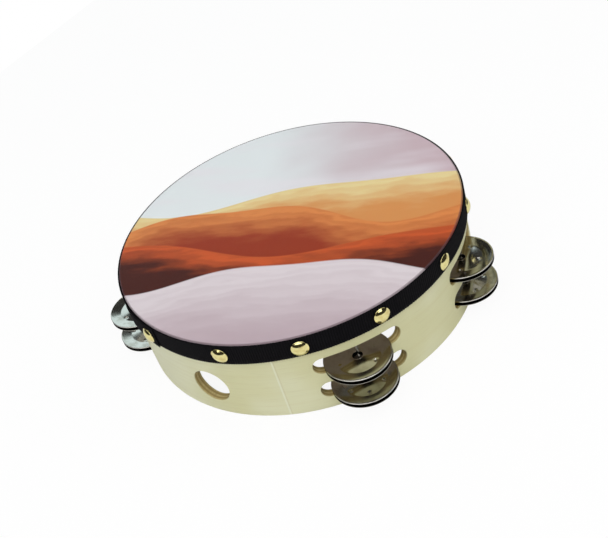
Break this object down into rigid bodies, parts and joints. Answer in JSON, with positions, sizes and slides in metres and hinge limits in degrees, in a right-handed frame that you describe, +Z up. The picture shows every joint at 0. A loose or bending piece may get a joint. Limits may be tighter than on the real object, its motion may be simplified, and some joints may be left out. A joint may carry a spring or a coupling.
{
  "type": "tambourine",
  "caption": "Headed tambourine: bent wood hoop with a hand hole, film head under ribbon and brass tacks, and stacked rows of paired jingles sliding on wire pins.",
  "frame": {"origin": "on the hoop's axis, at the plane that the rim lies on; the middle of the part's box is 0.6 mm to +X and 0.4 mm to +Y of it, because of where the jingles hang and the tacks are driven", "axes": "+Z up the hoop's axis and out of the head; -Y out through the hand hole; +X to the right of someone who faces the hand hole"},
  "size_m": [0.2888, 0.2617, 0.0683],
  "materials": {
    "wood": "pale clear-lacquered plywood, tan edge layers in the holes and slots",
    "film": null,
    "ribbon": "near-black grosgrain with fine upright ribs",
    "brass": "polished pale brass",
    "nickel": "bright nickel plate",
    "wire": "plain drawn wire"
  },
  "bodies": {
    "hoop": {"shell": "wood", "head": "film", "ribbon": "ribbon", "tack_1": "brass", "tack_2": "brass", "tack_3": "brass", "tack_4": "brass", "tack_5": "brass", "tack_6": "brass", "tack_7": "brass", "tack_8": "brass", "tack_9": "brass", "tack_10": "brass", "tack_11": "brass", "tack_12": "brass", "tack_13": "brass", "tack_14": "brass", "pin_1": "wire", "pin_2": "wire", "pin_3": "wire", "pin_4": "wire", "pin_5": "wire", "pin_6": "wire"},
    "jingle_1_upper_bottom": {"jingle_1_upper_bottom": "nickel"},
    "jingle_1_upper_top": {"jingle_1_upper_top": "nickel"},
    "jingle_1_lower_bottom": {"jingle_1_lower_bottom": "nickel"},
    "jingle_1_lower_top": {"jingle_1_lower_top": "nickel"},
    "jingle_2_upper_bottom": {"jingle_2_upper_bottom": "nickel"},
    "jingle_2_upper_top": {"jingle_2_upper_top": "nickel"},
    "jingle_2_lower_bottom": {"jingle_2_lower_bottom": "nickel"},
    "jingle_2_lower_top": {"jingle_2_lower_top": "nickel"},
    "jingle_3_upper_bottom": {"jingle_3_upper_bottom": "nickel"},
    "jingle_3_upper_top": {"jingle_3_upper_top": "nickel"},
    "jingle_3_lower_bottom": {"jingle_3_lower_bottom": "nickel"},
    "jingle_3_lower_top": {"jingle_3_lower_top": "nickel"},
    "jingle_4_upper_bottom": {"jingle_4_upper_bottom": "nickel"},
    "jingle_4_upper_top": {"jingle_4_upper_top": "nickel"},
    "jingle_4_lower_bottom": {"jingle_4_lower_bottom": "nickel"},
    "jingle_4_lower_top": {"jingle_4_lower_top": "nickel"},
    "jingle_5_upper_bottom": {"jingle_5_upper_bottom": "nickel"},
    "jingle_5_upper_top": {"jingle_5_upper_top": "nickel"},
    "jingle_5_lower_bottom": {"jingle_5_lower_bottom": "nickel"},
    "jingle_5_lower_top": {"jingle_5_lower_top": "nickel"},
    "jingle_6_upper_bottom": {"jingle_6_upper_bottom": "nickel"},
    "jingle_6_upper_top": {"jingle_6_upper_top": "nickel"},
    "jingle_6_lower_bottom": {"jingle_6_lower_bottom": "nickel"},
    "jingle_6_lower_top": {"jingle_6_lower_top": "nickel"}
  },
  "joints": [
    {"name": "rattle_1_upper_bottom", "type": "slide", "parent": "hoop", "child": "jingle_1_upper_bottom", "axis": [0, 0, 1], "range_m": [0, 0.0041]},
    {"name": "rattle_1_upper_top", "type": "slide", "parent": "jingle_1_upper_bottom", "child": "jingle_1_upper_top", "axis": [0, 0, 1], "range_m": [0, 0.0041]},
    {"name": "rattle_1_lower_bottom", "type": "slide", "parent": "hoop", "child": "jingle_1_lower_bottom", "axis": [0, 0, 1], "range_m": [0, 0.0041]},
    {"name": "rattle_1_lower_top", "type": "slide", "parent": "jingle_1_lower_bottom", "child": "jingle_1_lower_top", "axis": [0, 0, 1], "range_m": [0, 0.0041]},
    {"name": "rattle_2_upper_bottom", "type": "slide", "parent": "hoop", "child": "jingle_2_upper_bottom", "axis": [0, 0, 1], "range_m": [0, 0.0041]},
    {"name": "rattle_2_upper_top", "type": "slide", "parent": "jingle_2_upper_bottom", "child": "jingle_2_upper_top", "axis": [0, 0, 1], "range_m": [0, 0.0041]},
    {"name": "rattle_2_lower_bottom", "type": "slide", "parent": "hoop", "child": "jingle_2_lower_bottom", "axis": [0, 0, 1], "range_m": [0, 0.0041]},
    {"name": "rattle_2_lower_top", "type": "slide", "parent": "jingle_2_lower_bottom", "child": "jingle_2_lower_top", "axis": [0, 0, 1], "range_m": [0, 0.0041]},
    {"name": "rattle_3_upper_bottom", "type": "slide", "parent": "hoop", "child": "jingle_3_upper_bottom", "axis": [0, 0, 1], "range_m": [0, 0.0041]},
    {"name": "rattle_3_upper_top", "type": "slide", "parent": "jingle_3_upper_bottom", "child": "jingle_3_upper_top", "axis": [0, 0, 1], "range_m": [0, 0.0041]},
    {"name": "rattle_3_lower_bottom", "type": "slide", "parent": "hoop", "child": "jingle_3_lower_bottom", "axis": [0, 0, 1], "range_m": [0, 0.0041]},
    {"name": "rattle_3_lower_top", "type": "slide", "parent": "jingle_3_lower_bottom", "child": "jingle_3_lower_top", "axis": [0, 0, 1], "range_m": [0, 0.0041]},
    {"name": "rattle_4_upper_bottom", "type": "slide", "parent": "hoop", "child": "jingle_4_upper_bottom", "axis": [0, 0, 1], "range_m": [0, 0.0041]},
    {"name": "rattle_4_upper_top", "type": "slide", "parent": "jingle_4_upper_bottom", "child": "jingle_4_upper_top", "axis": [0, 0, 1], "range_m": [0, 0.0041]},
    {"name": "rattle_4_lower_bottom", "type": "slide", "parent": "hoop", "child": "jingle_4_lower_bottom", "axis": [0, 0, 1], "range_m": [0, 0.0041]},
    {"name": "rattle_4_lower_top", "type": "slide", "parent": "jingle_4_lower_bottom", "child": "jingle_4_lower_top", "axis": [0, 0, 1], "range_m": [0, 0.0041]},
    {"name": "rattle_5_upper_bottom", "type": "slide", "parent": "hoop", "child": "jingle_5_upper_bottom", "axis": [0, 0, 1], "range_m": [0, 0.0041]},
    {"name": "rattle_5_upper_top", "type": "slide", "parent": "jingle_5_upper_bottom", "child": "jingle_5_upper_top", "axis": [0, 0, 1], "range_m": [0, 0.0041]},
    {"name": "rattle_5_lower_bottom", "type": "slide", "parent": "hoop", "child": "jingle_5_lower_bottom", "axis": [0, 0, 1], "range_m": [0, 0.0041]},
    {"name": "rattle_5_lower_top", "type": "slide", "parent": "jingle_5_lower_bottom", "child": "jingle_5_lower_top", "axis": [0, 0, 1], "range_m": [0, 0.0041]},
    {"name": "rattle_6_upper_bottom", "type": "slide", "parent": "hoop", "child": "jingle_6_upper_bottom", "axis": [0, 0, 1], "range_m": [0, 0.0041]},
    {"name": "rattle_6_upper_top", "type": "slide", "parent": "jingle_6_upper_bottom", "child": "jingle_6_upper_top", "axis": [0, 0, 1], "range_m": [0, 0.0041]},
    {"name": "rattle_6_lower_bottom", "type": "slide", "parent": "hoop", "child": "jingle_6_lower_bottom", "axis": [0, 0, 1], "range_m": [0, 0.0041]},
    {"name": "rattle_6_lower_top", "type": "slide", "parent": "jingle_6_lower_bottom", "child": "jingle_6_lower_top", "axis": [0, 0, 1], "range_m": [0, 0.0041]}
  ]
}
